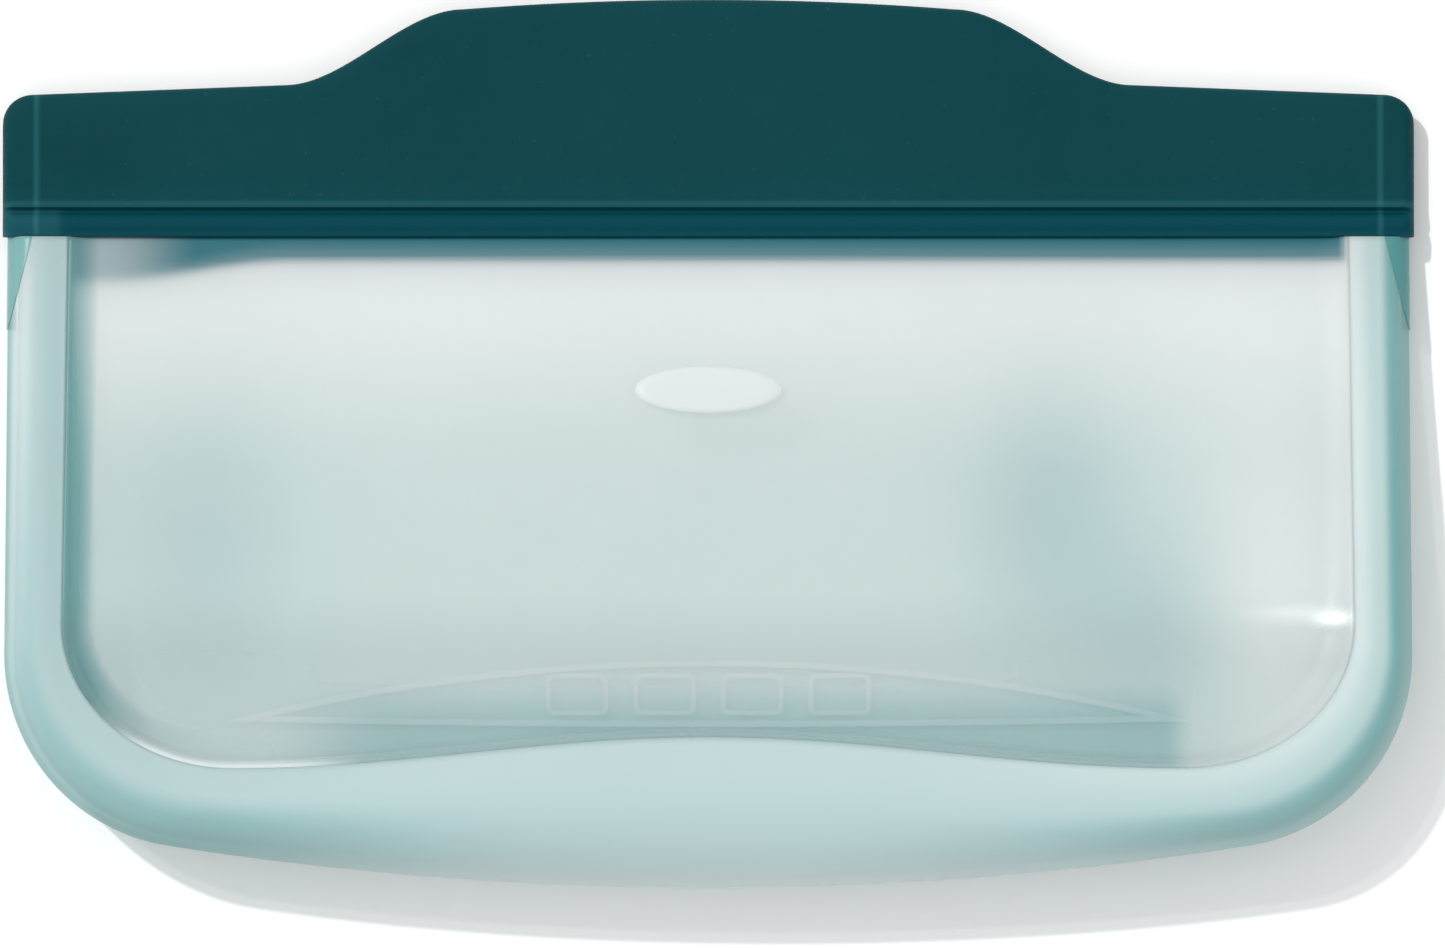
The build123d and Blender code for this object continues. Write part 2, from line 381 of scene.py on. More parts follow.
def crease_distance(x, y):
    """Distance from each point to the crease line."""
    points = np.column_stack([x.ravel(), y.ravel()])
    nearest = np.full(len(points), np.inf)
    for start, stop in zip(crease_line, crease_line[1:]):
        step = stop - start
        share = np.clip(((points - start) @ step) / (step @ step), 0, 1)
        nearest = np.minimum(nearest, np.hypot(*(points - start - share[:, None] * step).T))
    return nearest.reshape(x.shape)


def front_surface(x, y):
    """Height of the front wall's outer face, and how far it is down its slope from the crease."""
    share = np.clip(crease_distance(x, y) / SLOPE_WIDTH, 0, 1)
    fall = 1 - (1 - share) ** 2
    panel = PANEL_MOUTH_Z + PANEL_RISE * (MOUTH_Y - y)
    loose = smoothstep((MOUTH_Y - y) / SLACK_START)
    for shape in (*DIPS, CROWN, PINCH):
        panel = panel - hollow(x, y, shape) * loose
    return crease_height(y) + (panel - crease_height(y)) * fall, share


# each step below is (where it starts, the distance until it is full)
MOUTH_TEAL = 0.02  # at the mouth
BODY_TEAL = 0.28  # added from the mouth towards the fold
BODY_STEP = (22.0, 27.0)  # in y, towards the fold
DIP_SHADE = 0.19  # painted shade added for each millimetre of a dip
LIT_PATCH = (76.0, -24.0, 10.0, 26.0, 0.26)  # painted light on the wall beside the right dip
FOLD_SHADE = 0.41  # painted shade added along the fold, where the walls stand furthest apart
DEEP_LEFT_STEP = (-60.0, 18.0)  # in x, from the left end
DEEP_RIGHT_STEP = (64.6, 4.0)  # in x, from the right end
DEEP_STEP = (-31.0, 7.0)  # in y, towards the fold
LEFT_SLOPE_SHADE = 1.0  # painted shade added on the left, where the wall falls steeply from the crease
# painted light on the right slope, which takes a little teal away
RIGHT_SLOPE_LIGHT = -0.10
SLOPE_SIDE_STEP = (30.0, 40.0)  # away from the middle, to either side
SLOPE_END_STEP = (-42.0, 12.0)  # in y, away from the fold
SLOPE_FADE = 0.6  # the power of its fading down the slope

# painted highlights on the front wall, which make it paler and less clear along the crease's left
# corner and at the pinch
HIGHLIGHT_TOP = 0.62
CREASE_HIGHLIGHT = 0.45  # along the crease's left corner
CREASE_HIGHLIGHT_WIDTH = 0.13  # as a share of the slope
CREASE_HIGHLIGHT_STEPS = ((44.0, 12.0), (-81.0, 8.0), (35.0, 5.0))  # in -x, in x and in -y
PINCH_HIGHLIGHT = (PINCH[0] - 0.6, PINCH[1] + 0.2, 2.2, 0.8, 0.62)
PINCH_HIGHLIGHT_TRAIL = (PINCH[0] - 5.0, PINCH[1] + 0.9, 6.0, 1.1, 0.16)
HIGHLIGHT_OVER_TEAL = 1.6  # how strongly the painted highlights hide the teal

SEAL_STEP = (23.3, 1.7)  # in y, towards the mouth
SEAL_CORE = 0.91  # the share of the darkening that comes with the first step
SEAL_DEEP_STEP = (24.9, 2.2)
SEAL_SHADOW_DROP = 3.6  # at the left end a painted soft shadow carries the darkening lower, with a softer and paler edge
SEAL_SHADOW_SOFTENING = 1.2
SEAL_SHADOW_STEP = (56.0, 26.0)
SEAL_PALING = 0.35
SEAL_PALING_STEP = (68.0, 14.0)
SEAL_END_STEP = (0.3, 0.6)  # from just past the seal's ends, inwards

SHEER = 0.14  # how much clearer the wall is near the fold
SHEER_STEP = (18.0, 12.0)

DULL = 0.28  # how much rougher the wall's right side is
DULL_STEP = (62.0, 12.0)
PINCH_GLOSS = 4.5  # the wall stays glossy this far round the pinch


def step_after(value, step):
    """A smooth step from 0 to 1 that begins where the value passes the step's start."""
    start, width = step
    return smoothstep((value - start) / width)


def front_tint(x, y, share):
    """How teal the front wall is: more towards the fold, with painted shade where it is steep on the
    left, dipped, or far from the back wall along the fold, painted light beside the right dip and on
    the right slope, and paler under the painted highlights.
    """
    tint = MOUTH_TEAL + BODY_TEAL * smoothstep((BODY_STEP[0] - y) / BODY_STEP[1])
    for dip in DIPS:
        tint = tint + DIP_SHADE * hollow(x, y, dip)
    tint = tint - hollow(x, y, LIT_PATCH)
    along = step_after(x, DEEP_LEFT_STEP) * smoothstep((DEEP_RIGHT_STEP[0] - x) / DEEP_RIGHT_STEP[1])
    tint = tint + FOLD_SHADE * along * smoothstep((DEEP_STEP[0] - y) / DEEP_STEP[1])
    left = LEFT_SLOPE_SHADE * step_after(-x, SLOPE_SIDE_STEP)
    right = RIGHT_SLOPE_LIGHT * step_after(x, SLOPE_SIDE_STEP)
    steep = (left + right) * step_after(y, SLOPE_END_STEP)
    tint = tint + steep * (1 - share) ** SLOPE_FADE
    return np.clip(tint * (1 - np.clip(painted_highlight(x, y, share) * HIGHLIGHT_OVER_TEAL, 0, 1)), 0, 1)


def painted_highlight(x, y, share):
    """Painted highlights along the crease's left corner and at the pinch, where the wall is made paler
    and less clear.
    """
    inner_step, outer_step, low_step = CREASE_HIGHLIGHT_STEPS
    corner = step_after(-x, inner_step) * step_after(x, outer_step) * step_after(-y, low_step)
    line = CREASE_HIGHLIGHT * corner * hill(share, 0.0, CREASE_HIGHLIGHT_WIDTH, 1.0)
    return np.clip(line + hollow(x, y, PINCH_HIGHLIGHT) + hollow(x, y, PINCH_HIGHLIGHT_TRAIL), 0, HIGHLIGHT_TOP)


def dulled(x, y):
    """How much rougher the wall is: its right side is dull, apart from the pinch."""
    return DULL * step_after(x, DULL_STEP) * (1 - hill(y, PINCH[1], PINCH_GLOSS, 1.0))


def seal_seen(x, y):
    """How clearly the seal shows through the wall: its edge is soft, it ends short of the side, and at
    its left end a painted soft shadow reaches below it.
    """
    shadowed = step_after(-x, SEAL_SHADOW_STEP)
    depth = y + SEAL_SHADOW_DROP * shadowed
    start, width = SEAL_STEP
    soft = (start, width + SEAL_SHADOW_SOFTENING * shadowed)
    seen = SEAL_CORE * step_after(depth, soft) + (1 - SEAL_CORE) * step_after(depth, SEAL_DEEP_STEP)
    ends = smoothstep((SEAL_X + SEAL_END_STEP[0] - np.abs(x)) / SEAL_END_STEP[1])
    return seen * ends * (1 - SEAL_PALING * step_after(-x, SEAL_PALING_STEP))


def coons(first_row, last_row, first_column, last_column):
    """A grid of plan points that fits four border curves."""
    rows = len(first_column)
    columns = len(first_row)
    u = np.linspace(0, 1, rows)[:, None, None]
    v = np.linspace(0, 1, columns)[None, :, None]
    across = (1 - u) * first_row[None] + u * last_row[None]
    down = (1 - v) * first_column[:, None] + v * last_column[:, None]
    corners = (1 - u) * ((1 - v) * first_row[0] + v * first_row[-1])
    corners = corners + u * ((1 - v) * last_row[0] + v * last_row[-1])
    return across + down - corners


def resample(line, count):
    """A line's points, spaced evenly along it."""
    length = np.concatenate([[0], np.cumsum(np.hypot(*np.diff(line, axis=0).T))])
    at = np.linspace(0, length[-1], count)
    return np.stack([np.interp(at, length, line[:, axis]) for axis in (0, 1)], 1)


def front_plan():
    """The left half's plan, fitted between the mouth, the crease and the middle line."""
    turn = SIDE_COUNT + CORNER_COUNT // 2
    side = resample(half_crease[: turn + 1], WALL_ROWS)
    bottom = resample(half_crease[turn:], WALL_COLUMNS)
    mouth = plan_line(np.linspace(-CREASE_X, 0, WALL_COLUMNS), MOUTH_Y)
    middle = plan_line(0.0, np.linspace(MOUTH_Y, CREASE_MIDDLE_Y, WALL_ROWS))
    return coons(mouth, bottom, side, middle)


def build_front_wall():
    """The clear panel, in a left and a right half."""
    plan = front_plan()
    halves = []
    for side, name in ((1, "left"), (-1, "right")):
        x = plan[..., 0] * side
        y = plan[..., 1]
        z, share = front_surface(x, y)
        outer = np.stack([x, y, z], -1)
        inner = np.stack([x, y, z - WALL], -1)
        tint = front_tint(x, y, share)
        half = shell_object(
            f"front_wall_{name}", outer, inner, closed=ALL_BORDERS[:3], flip=side > 0, tint=tint
        )
        seen = seal_seen(x, y).ravel()
        set_field(half, "strip", np.concatenate([seen, seen]))
        # clearer near the fold, and less clear where the painted highlights lie
        sheer_less_highlight = (SHEER * step_after(-y, SHEER_STEP) - painted_highlight(x, y, share)).ravel()
        set_field(half, "sheer_less_highlight", np.concatenate([sheer_less_highlight, sheer_less_highlight]))
        dull = dulled(x, y).ravel()
        set_field(half, "dull", np.concatenate([dull, dull]))
        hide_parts("front_wall")
        bow(half)
        halves.append(half)
    return halves


# --- the oval badge ----------------------------------------------------------------------

BADGE_RISE = 0.45
BADGE_SINK = 0.2
BADGE_EDGE = 14  # the power of the pad's edge curve: the higher, the flatter the middle
BADGE_EDGE_SINK = 0.02
BADGE_RINGS = 16
BADGE_STEPS = 96


def build_badge():
    """A plain oval pad with a soft edge, moulded on the front wall."""
    reach_x = (badge_high[0] - badge_low[0]) / 2
    reach_y = (badge_high[1] - badge_low[1]) / 2
    centre_y = (badge_high[1] + badge_low[1]) / 2
    angle = np.linspace(0, 2 * pi, BADGE_STEPS, endpoint=False)
    share = np.sin(np.linspace(0.02, pi / 2, BADGE_RINGS))[:, None]
    x = reach_x * share * np.cos(angle)
    y = centre_y + reach_y * share * np.sin(angle)
    top, _ = front_surface(x, y)
    top = top + BADGE_RISE * (1 - share**BADGE_EDGE) - BADGE_EDGE_SINK
    x = np.concatenate([x, x[::-1]])
    y = np.concatenate([y, y[::-1]])
    low, _ = front_surface(x[BADGE_RINGS:], y[BADGE_RINGS:])
    z = np.concatenate([top, low - BADGE_SINK])
    points = np.stack([x, y, z], -1)
    rows, columns = z.shape
    faces = grid_faces(rows, columns, flip=True, wrap=True)
    faces.append(list(range(columns)))
    faces.append([(rows - 1) * columns + j for j in range(columns)][::-1])
    pad = mesh_object("oval_badge_pad", points.reshape(-1, 3), faces)
    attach(pad, FRONT)
    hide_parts("oval_badge")
    return pad


# --- the back wall -----------------------------------------------------------------------


RIPPLE = 0.12  # the back wall's inner face is a little uneven
RIPPLE_X = (19.0, 1.3)  # the wave's length and its shift, along X and along Y
RIPPLE_Y = (13.0, 0.4)
RIPPLE_EDGE = 15.0
BACK_TEAL = (0.1, 0.5)  # at the mouth, and what is added at the fold
BACK_DEPTH = 80.0


def build_back_wall():
    """The flat panel that the bag lies on, in plan the same as the space inside the crease."""
    plan = front_plan()
    mirrored = (plan * MIRROR)[:, ::-1][:, 1:]
    plan = np.concatenate([plan, mirrored], 1)[::2, ::2]
    x = plan[..., 0]
    y = plan[..., 1]
    wave = np.sin(x / RIPPLE_X[0] + RIPPLE_X[1]) * np.sin(y / RIPPLE_Y[0] + RIPPLE_Y[1])
    ripple = RIPPLE * wave * smoothstep(crease_distance(x, y) / RIPPLE_EDGE)
    outer = np.stack([x, y, np.zeros_like(x)], -1)
    inner = np.stack([x, y, WALL + ripple], -1)
    tint = BACK_TEAL[0] + BACK_TEAL[1] * smoothstep((MOUTH_Y - y) / BACK_DEPTH)
    wall = shell_object("back_wall_skin", inner, outer, closed=ALL_BORDERS, flip=True, tint=tint)
    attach(wall, BACK)
    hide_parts("back_wall")
    return wall


# --- the lips and the welds at their ends ------------------------------------------------

TAB_FOOT = (57.0, 48.0)
TAB_SHOULDER = (33.0, 58.2)
SHOULDER_Y = 46.7
END_RADIUS = 4.2
EDGE_ROUND = 1.3
END_ROUND = 1.6
LIP_THICKNESS = lip_high[2]
LIP_JOIN_Z = LIP_THICKNESS + LIP_GAP / 2
EDGE_POINTS = 9
FLAT_POINTS = 9
SHARP_ANGLE = 38  # degrees between two faces, above which their shared edge is drawn sharp
WELD_LOWER = 0.1  # the welds lie this much lower than the front lip
BAND_STEP_Z = rib_low[2] + 1.2  # the underside of the band, above the seal

# the front lip's face from the mouth to the flat: a rounded band over the seal, a groove and a ridge
BAND = (
    (0.05, -1.35),
    (-0.05, -0.55),
    (0.20, -0.15),
    (0.75, 0.10),
    (1.60, 0.20),
    (2.40, 0.08),
    (2.90, -0.35),
    (3.15, -0.95),
    (3.45, -1.10),
    (3.75, -0.85),
    (3.95, -0.35),
    (4.35, -0.20),
    (5.00, -0.42),
    (6.00, -0.80),
)
BAND_TOP_Z = 7.3


def lip_edge(x):
    """The lip's outer edge: round ends, shoulders that rise a little, and the pull tab."""
    x = np.abs(x)
    foot_x, foot_y = TAB_FOOT
    top_x, top_y = TAB_SHOULDER
    end_x = LIP_X - END_RADIUS
    shoulder = SHOULDER_Y + (foot_y - SHOULDER_Y) * np.clip((end_x - x) / (end_x - foot_x), 0, 1)
    drop = END_RADIUS - np.sqrt(np.maximum(END_RADIUS**2 - np.maximum(x - end_x, 0) ** 2, 0))
    slope = (top_y - foot_y) * smoothstep((foot_x - x) / (foot_x - top_x))
    crown = (LIP_TOP_Y - top_y) * (1 - (np.minimum(x, top_x) / top_x) ** 2)
    return shoulder - drop + slope + crown


def edge_round(top_y, low_z, high_z):
    """(y, z) points round the outer edge of a lip, from its upper face to its lower one."""
    middle = (low_z + high_z) / 2
    half = (high_z - low_z) / 2
    angle = np.linspace(pi / 2, -pi / 2, EDGE_POINTS)
    return [(top_y - EDGE_ROUND * (1 - np.cos(a)), middle + half * np.sin(a)) for a in angle]


def flat_run(start, stop):
    """(y, z) points between two points, without the two ends."""
    return [tuple(p) for p in np.linspace(start, stop, FLAT_POINTS + 2)[1:-1]]


def front_lip_section(x, lower=0.0):
    """The (y, z) loop of the front lip at x."""
    top_z = LIPS_TOP_Z - lower
    low_z = LIP_THICKNESS + LIP_GAP
    top_y = float(lip_edge(x))
    face = [(MOUTH_Y + along, BAND_TOP_Z - lower + rise) for along, rise in BAND]
    face += flat_run(face[-1], (top_y - EDGE_ROUND, top_z))
    under = flat_run((top_y - EDGE_ROUND, low_z), (RIDGE_Y, low_z))
    step = [(RIDGE_Y, low_z), (RIDGE_Y - 0.1, BAND_STEP_Z), (MOUTH_Y + 0.1, BAND_STEP_Z)]
    return face + edge_round(top_y, low_z, top_z) + under + step


def back_lip_section(x):
    """The (y, z) loop of the back lip at x."""
    top_y = float(lip_edge(x))
    step = [(MOUTH_Y, 0.0), (MOUTH_Y, WALL), (RIDGE_Y - 0.2, WALL), (RIDGE_Y, LIP_THICKNESS)]
    face = flat_run((RIDGE_Y, LIP_THICKNESS), (top_y - EDGE_ROUND, LIP_THICKNESS))
    under = flat_run((top_y - EDGE_ROUND, 0.0), (MOUTH_Y, 0.0))
    return step + face + edge_round(top_y, 0.0, LIP_THICKNESS) + under


def weld_section(x):
    """The (y, z) loop of the welded end above the back lip at x."""
    return front_lip_section(x, lower=WELD_LOWER)


def end_scale(x):
    """How much of the lips' thickness is left near the bag's rounded ends."""
    inside = np.clip((abs(x) - (LIP_X - END_ROUND)) / END_ROUND, 0, 0.999)
    return sqrt(1 - inside**2)


def sweep(name, stations, section):
    """A solid whose (y, z) section changes with x."""
    loops = []
    for x in stations:
        loop = np.array(section(x))
        squeeze = end_scale(x)
        height = LIP_JOIN_Z + (loop[:, 1] - LIP_JOIN_Z) * squeeze
        loops.append(np.column_stack([np.full(len(loop), x), loop[:, 0], height]))
    loops = np.array(loops)
    rows, columns = loops.shape[:2]
    forward = stations[-1] > stations[0]
    faces = grid_faces(rows, columns, flip=forward, wrap=True)
    first = list(range(columns))
    last = [(rows - 1) * columns + j for j in range(columns)]
    faces.append(first if forward else first[::-1])
    faces.append(last[::-1] if forward else last)
    obj = mesh_object(name, loops.reshape(-1, 3), faces)
    obj.data.set_sharp_from_angle(angle=radians(SHARP_ANGLE))
    return obj


def half_stations(end_x, count=130):
    """Places along X from one end to the middle."""
    return np.linspace(end_x, 0, count)


def end_stations(side):
    """Places along X over one welded end, closer together where it rounds off."""
    flat = np.linspace(WELD_X, LIP_X - END_ROUND, 6, endpoint=False)
    curve = LIP_X - END_ROUND + END_ROUND * np.sin(np.linspace(0, pi / 2, 10))
    return side * np.concatenate([flat, curve])


DEEPENING = (0.35, 6.5, 6.0)  # how blue the lip turns near the ridge, from how far, over what width
# painted highlights along the weld line and along the band's edge at the mouth
WELD_LINE = 0.6
MOUTH_LINE = 0.35
FUSED_END_LIGHT = 0.3  # the band's left end is painted paler, as painted light, where the halves are fused
FUSED_X = 86.6


def paint_lip(obj):
    """Fields for the blue band over the seal, for painted highlights on the thin edges that catch the
    light, and for painted light at the band's left end.
    """
    points = np.empty(len(obj.data.vertices) * 3)
    obj.data.vertices.foreach_get("co", points)
    x, y, z = points.reshape(-1, 3).T / MM
    share, reach, width = DEEPENING
    deepening = share * smoothstep((RIDGE_Y + reach - y) / width)
    set_field(obj, "band", np.maximum(smoothstep((RIDGE_Y + 0.1 - y) / 0.5), deepening))
    ridge = hill(y, RIDGE_Y + 0.05, 0.22, 1.0)
    rim = hill(y, MOUTH_Y + 0.1, 0.2, MOUTH_LINE)
    weld = hill(np.abs(x), WELD_X, 0.2, WELD_LINE)
    fused = FUSED_END_LIGHT * smoothstep((-x - FUSED_X) / 0.6) * smoothstep((RIDGE_Y - 0.3 - y) / 0.4)
    set_field(obj, "edge", np.where(z > LIP_THICKNESS, np.clip(ridge + rim + weld + fused, 0, 1), 0))


def build_lips():
    """Both lips and the two welds."""
    pieces = []
    middle = np.linspace(-WELD_X, WELD_X, 240)
    stations = np.concatenate([end_stations(-1)[::-1], middle[1:-1], end_stations(1)])
    back_lip = sweep("back_lip_skin", stations, back_lip_section)
    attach(back_lip, BACK)
    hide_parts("back_lip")
    pieces.append(back_lip)
    for side, name in ((-1, "left"), (1, "right")):
        front_lip = sweep(f"front_lip_{name}", half_stations(side * WELD_X), front_lip_section)
        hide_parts("front_lip")
        bow(front_lip)
        weld = sweep(f"{name}_end_weld_skin", end_stations(side), weld_section)
        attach(weld, BACK)
        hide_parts(f"{name}_end_weld")
        pieces += [front_lip, weld]
    for piece in pieces:
        paint_lip(piece)
    return pieces


# --- the pinch seal, seen through the front wall and when the mouth is open ---------------

ROWS_Y = (27.0, 30.0)  # where the two rows of rib and groove run
GROOVE = 1.15  # radius of a groove, and of a rib
RIB = 0.85
ROW_POINTS = 9
RIB_BASE_Z = channel_high[2] + 0.25
RIB_TOP_Z = PANEL_MOUTH_Z - WALL - 0.05


def dented(start, stop, z, radius, into):
    """(y, z) points from start to stop with a half-round groove or rib at each seal row."""
    points = [(start, z)]
    for row in ROWS_Y:
        angle = np.linspace(pi, 0, ROW_POINTS)
        points += [(row + radius * np.cos(a), z + into * radius * np.sin(a)) for a in angle]
    return points + [(stop, z)]


def channel_section(x):
    """The (y, z) loop of the grooved half, the same at every x. It thins out into the back wall."""
    top = dented(channel_low[1] + 0.9, RIDGE_Y, channel_high[2], GROOVE, -1)
    return [(channel_low[1] - 0.6, WALL), (channel_low[1] + 0.1, WALL + 0.9)] + top + [(RIDGE_Y, WALL)]


def rib_section_loop(x):
    """The (y, z) loop of the ribbed half, the same at every x, under the front wall and the band."""
    stop = RIDGE_Y - 0.1
    lower = dented(rib_low[1], stop, RIB_BASE_Z, RIB, -1)
    return lower[::-1] + [(rib_low[1], RIB_TOP_Z + 0.15), (MOUTH_Y, RIB_TOP_Z), (stop, RIB_TOP_Z)]


def build_seal():
    """The grooved half on the back, and the ribbed half, in two pieces, under the front."""
    stations = np.linspace(-SEAL_X, SEAL_X, 60)
    channel = sweep("seal_channel_skin", stations, channel_section)
    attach(channel, BACK)
    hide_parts("seal_channel")
    pieces = [channel]
    for side, name in ((-1, "left"), (1, "right")):
        rib = sweep(f"seal_rib_{name}", half_stations(side * SEAL_X, 80), rib_section_loop)
        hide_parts("seal_rib")
        bow(rib)
        pieces.append(rib)
    return pieces


# --- the corner webs below the ends of the lips -------------------------------------------

WEB_PROUD = 0.12
WEB_LENGTH = MOUTH_Y - web_low[1]
WEB_WIDTH = web_high[0] - web_low[0]
WEB_ROWS = 40
WEB_COLUMNS = 28
WEB_TAPER = 0.9  # below 1, the triangle's slanting side bulges outwards
WEB_THICKNESS = (0.03, 4.0)  # the inner face is moved by this share towards a line this far in
WEB_GAP = 0.02  # keeps the web's ends off the lips and above no width


def build_webs():
    """Two thin triangles of teal skin that wrap the ends of the rim."""
    webs = []
    for side, name, shade in ((-1, "left", 0.0), (1, "right", 1.0)):
        rows = []
        for share in np.linspace(0, 1, WEB_ROWS):
            y = MOUTH_Y - WEB_GAP - WEB_LENGTH * share
            along, height = rim_section(SIDE_X - CREASE_X, crest_height(y), crease_height(y))
            out_along, out_height = inner_section(along, height, -WEB_PROUD)
            reach = WEB_WIDTH * (1 - share) ** WEB_TAPER + WEB_GAP
            line = np.column_stack([out_along, out_height])[FLAT_COUNT + ARC_COUNT // 2 :]
            steps = np.concatenate([[0], np.cumsum(np.hypot(*np.diff(line, axis=0).T))])
            outermost = int(np.argmin(line[:, 0]))
            stop = np.interp(reach, line[outermost:, 0], steps[outermost:])
            at = np.linspace(0, stop, WEB_COLUMNS)
            inward = np.interp(at, steps, line[:, 0])
            z = np.interp(at, steps, line[:, 1])
            rows.append(np.column_stack([side * (SIDE_X - inward), np.full_like(inward, y), z]))
        outer = np.array(rows)
        centre = np.array([side * (SIDE_X - WEB_THICKNESS[1]), 0, 0])
        inner = outer + (centre - outer) * np.array([WEB_THICKNESS[0], 0, 0])
        tint = np.full(outer.shape[:2], shade)
        web = shell_object(
            f"{name}_corner_web_skin", outer, inner, closed=ALL_BORDERS, flip=side < 0, tint=tint
        )
        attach(web, BACK)
        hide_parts(f"{name}_corner_web")
        webs.append(web)
    return webs


# --- materials ---------------------------------------------------------------------------

SILICONE_IOR = 1.41
WALL_PALE = (0.87, 0.91, 0.91)
WALL_TEAL = (0.20, 0.45, 0.45)
BADGE_PALE = (0.86, 0.90, 0.90)
WEB_LIT = (0.22, 0.47, 0.46)
WEB_SHADED = (0.10, 0.34, 0.34)
SEAL_THROUGH_WALL = (0.014, 0.125, 0.155)
SEAL_ALPHA = 0.96  # the wall lets almost nothing more through where the seal lies behind it
LIP_DARK = (0.0022, 0.043, 0.050)
LIP_LIGHT = (0.0030, 0.049, 0.057)
SEAL_DARK = (0.002, 0.060, 0.085)
SEAL_LIGHT = (0.003, 0.072, 0.10)
BAND_BLUE = (0.0006, 0.048, 0.064)
# colour of the painted highlights on the lips' thin edges
EDGE_HIGHLIGHT = (0.03, 0.15, 0.18)
SPECK_GREY = (0.10, 0.22, 0.23)
WHITE_FLOOR = (0.92, 0.92, 0.92, 1)


class Nodes:
    """Short calls for building one material's node tree."""

    def __init__(self, name):
        self.material = bpy.data.materials.new(name)
        self.material.use_nodes = True
        self.tree = self.material.node_tree
        self.shader = self.tree.nodes["Principled BSDF"]

    def add(self, kind, **settings):
        node = self.tree.nodes.new(kind)
        for key, value in settings.items():
            setattr(node, key, value)
        return node

    def link(self, source, target):
        self.tree.links.new(source, target)

    def noise(self, scale, detail):
        """A noise value from 0 to 1 that is fixed to the object's surface."""
        place = self.add("ShaderNodeTexCoord")
        node = self.add("ShaderNodeTexNoise")
        node.inputs["Scale"].default_value = scale
        node.inputs["Detail"].default_value = detail
        node.inputs["Roughness"].default_value = 0.55
        self.link(place.outputs["Object"], node.inputs["Vector"])
        return node.outputs["Fac"]

    def remap(self, value, low, high, to_low, to_high):
        node = self.add("ShaderNodeMapRange")
        node.inputs["From Min"].default_value = low
        node.inputs["From Max"].default_value = high
        node.inputs["To Min"].default_value = to_low
        node.inputs["To Max"].default_value = to_high
        self.link(value, node.inputs["Value"])
        return node.outputs["Result"]

    def mix(self, factor, first, second, blend="MIX"):
        """Two colours mixed. Each is a colour or a socket."""
        node = self.add("ShaderNodeMix", data_type="RGBA", blend_type=blend)
        for key, value in ((0, factor), (6, first), (7, second)):
            if isinstance(value, bpy.types.NodeSocket):
                self.link(value, node.inputs[key])
            else:
                node.inputs[key].default_value = value if key == 0 else (*value, 1)
        return node.outputs[2]

    def math(self, operation, value, other):
        """One value and another, added or subtracted."""
        node = self.add("ShaderNodeMath", operation=operation)
        self.link(value, node.inputs[0])
        self.link(other, node.inputs[1])
        return node.outputs["Value"]

    def bump(self, height, distance, strength, under=None):
        """A surface normal from a height, over the bump given as under."""
        node = self.add("ShaderNodeBump")
        node.inputs["Strength"].default_value = strength
        node.inputs["Distance"].default_value = distance
        self.link(height, node.inputs["Height"])
        if under is not None:
            self.link(under, node.inputs["Normal"])
        return node.outputs["Normal"]

    def set(self, **values):
        """Sets the shader's sockets, or links them where the value is a socket itself."""
        for key, value in values.items():
            socket = self.shader.inputs[key.replace("_", " ")]
            if isinstance(value, bpy.types.NodeSocket):
                self.link(value, socket)
            else:
                socket.default_value = value


def field(m, name):
    """The value of one of the mesh's own fields."""
    return m.add("ShaderNodeAttribute", attribute_name=name).outputs["Fac"]


def frosted_silicone(name, alpha, pale, teal, gloss=0.30, shine=0.35):
    """Translucent silicone that turns teal with its tint, which also carries painted shade and light;
    it is dark where a seal lies behind it and less clear where painted highlights lie.
    """
    m = Nodes(name)
    strip = field(m, "strip")
    colour = m.mix(field(m, "tint"), pale, teal)
    colour = m.mix(strip, colour, SEAL_THROUGH_WALL)
    cloud = m.remap(m.noise(24, 2), 0.3, 0.7, 0.975, 1.0)
    shade = m.add("ShaderNodeCombineColor")
    for key in ("Red", "Green", "Blue"):
        m.link(cloud, shade.inputs[key])
    colour = m.mix(1.0, colour, shade.outputs["Color"], "MULTIPLY")
    waves = m.bump(m.noise(38, 1), 0.0002, 0.35)
    grain = m.bump(m.noise(2600, 1), 0.00001, 0.1, under=waves)
    worn = m.remap(m.noise(140, 1), 0.3, 0.7, gloss - 0.02, gloss + 0.02)
    m.set(
        Base_Color=colour,
        Roughness=m.math("ADD", worn, field(m, "dull")),
        Normal=grain,
        IOR=SILICONE_IOR,
        Specular_IOR_Level=shine,
        Alpha=m.math("SUBTRACT", m.remap(strip, 0.0, 1.0, alpha, SEAL_ALPHA), field(m, "sheer_less_highlight")),
    )
    return m.material


def matte_silicone(name, colour, light, roughness):
    """Opaque silicone with a fine moulded grain, a bluer band over the seal and painted highlights
    along thin edges.
    """
    m = Nodes(name)
    patch = m.remap(m.noise(30, 4), 0.35, 0.65, 0.0, 1.0)
    base = m.mix(patch, colour, light)
    specks = m.remap(m.noise(1400, 1), 0.72, 0.80, 0.0, 0.10)
    base = m.mix(specks, base, SPECK_GREY)
    base = m.mix(field(m, "band"), base, BAND_BLUE)
    # painted highlights along the lip's thin edges
    base = m.mix(m.remap(field(m, "edge"), 0.0, 1.0, 0.0, 0.7), base, EDGE_HIGHLIGHT)
    grain = m.bump(m.noise(2200, 3), 0.00006, 0.6)
    m.set(
        Base_Color=base,
        Roughness=m.remap(m.noise(400, 3), 0.3, 0.7, roughness - 0.06, roughness + 0.06),
        Normal=grain,
        IOR=SILICONE_IOR,
        Specular_IOR_Level=0.06,
    )
    return m.material


def dress(obj, material):
    """Gives an object one material."""
    obj.data.materials.clear()
    obj.data.materials.append(material)


def dress_node(node, material):
    """Gives a carried-over CAD node a better material."""
    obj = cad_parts[node]
    for slot in obj.material_slots:
        slot.material = material


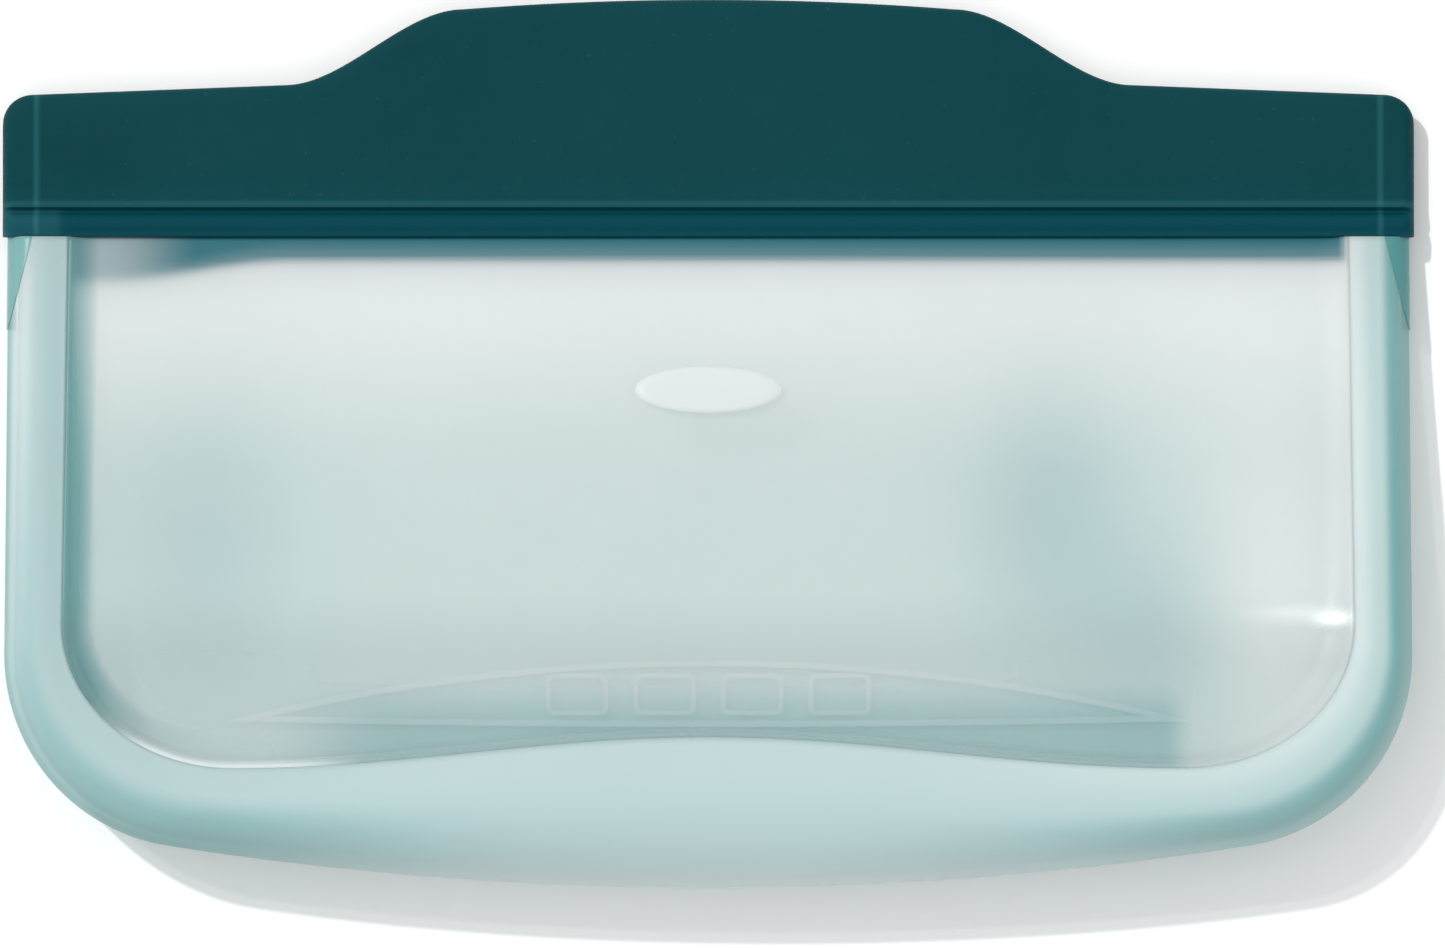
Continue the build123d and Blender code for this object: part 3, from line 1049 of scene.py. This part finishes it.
clear = frosted_silicone("clear_wall_skin", 0.46, WALL_PALE, WALL_TEAL)
thick = frosted_silicone("clear_rim_skin", 0.60, WALL_PALE, WALL_TEAL, gloss=0.46, shine=0.2)
raised = frosted_silicone("raised_line_skin", 0.38, WALL_PALE, WALL_TEAL)
badge = frosted_silicone("badge_skin", 0.45, BADGE_PALE, WALL_TEAL)
teal = frosted_silicone("web_skin", 0.6, WEB_LIT, WEB_SHADED)
dark = matte_silicone("dark_lip_skin", LIP_DARK, LIP_LIGHT, 0.6)
seal = matte_silicone("seal_skin", SEAL_DARK, SEAL_LIGHT, 0.42)

# --- the pieces --------------------------------------------------------------------------

dress(build_rim(), thick)
dress(build_back_wall(), clear)
for piece in build_front_wall():
    dress(piece, clear)
for piece in build_lips():
    dress(piece, dark)
for piece in build_seal():
    dress(piece, seal)
for piece in build_webs():
    dress(piece, teal)
dress(build_badge(), badge)
for node in ("base_outline", "care_marks"):
    dress_node(node, raised)

# --- floor, light and camera -------------------------------------------------------------

VIEW_WIDTH = 195.1  # the width that the camera sees on the floor
VIEW_CENTRE = (1.9, -4.3)
CAMERA_HEIGHT = 1200.0
SENSOR = 36.0
FLOOR_REACH = 3000.0
FLOOR_DROP = 0.05
ROOM_STRENGTH = 0.74


def build_floor():
    """A white sheet that only the picture needs, just below the bag."""
    corners = np.array([[-1, -1], [1, -1], [1, 1], [-1, 1]]) * FLOOR_REACH
    floor = mesh_object("floor", np.column_stack([corners, np.full(4, -FLOOR_DROP)]), [[0, 1, 2, 3]])
    m = Nodes("floor_white")
    m.set(Base_Color=WHITE_FLOOR, Roughness=0.9)
    dress(floor, m.material)


def sun(name, strength, spread_degrees, towards):
    """A distant lamp in the direction towards."""
    lamp = bpy.data.lights.new(name, "SUN")
    lamp.energy = strength
    lamp.angle = radians(spread_degrees)
    obj = bpy.data.objects.new(name, lamp)
    obj.rotation_euler = Vector(towards).to_track_quat("Z", "Y").to_euler()
    bpy.context.scene.collection.objects.link(obj)


def build_light():
    """A white room that is a little dim, a wide soft lamp overhead and a key lamp at the upper left."""
    world = bpy.data.worlds.new("studio")
    bpy.context.scene.world = world
    world.use_nodes = True
    background = world.node_tree.nodes["Background"]
    background.inputs["Color"].default_value = (1.0, 1.0, 1.0, 1)
    background.inputs["Strength"].default_value = ROOM_STRENGTH
    sun("overhead", 0.4, 60, (-0.25, 0.25, 1.0))
    sun("key", 1.55, 1.5, (-0.50, 0.50, 1.0))


def build_camera():
    """A camera far above the bag, looking straight down."""
    camera = bpy.data.cameras.new("camera")
    camera.sensor_width = SENSOR
    camera.lens = SENSOR * CAMERA_HEIGHT / VIEW_WIDTH
    camera.clip_end = 100
    obj = bpy.data.objects.new("camera", camera)
    obj.location = (VIEW_CENTRE[0] * MM, VIEW_CENTRE[1] * MM, CAMERA_HEIGHT * MM)
    bpy.context.scene.collection.objects.link(obj)
    bpy.context.scene.camera = obj


build_floor()
build_light()
build_camera()
bpy.context.scene.view_settings.view_transform = "Standard"
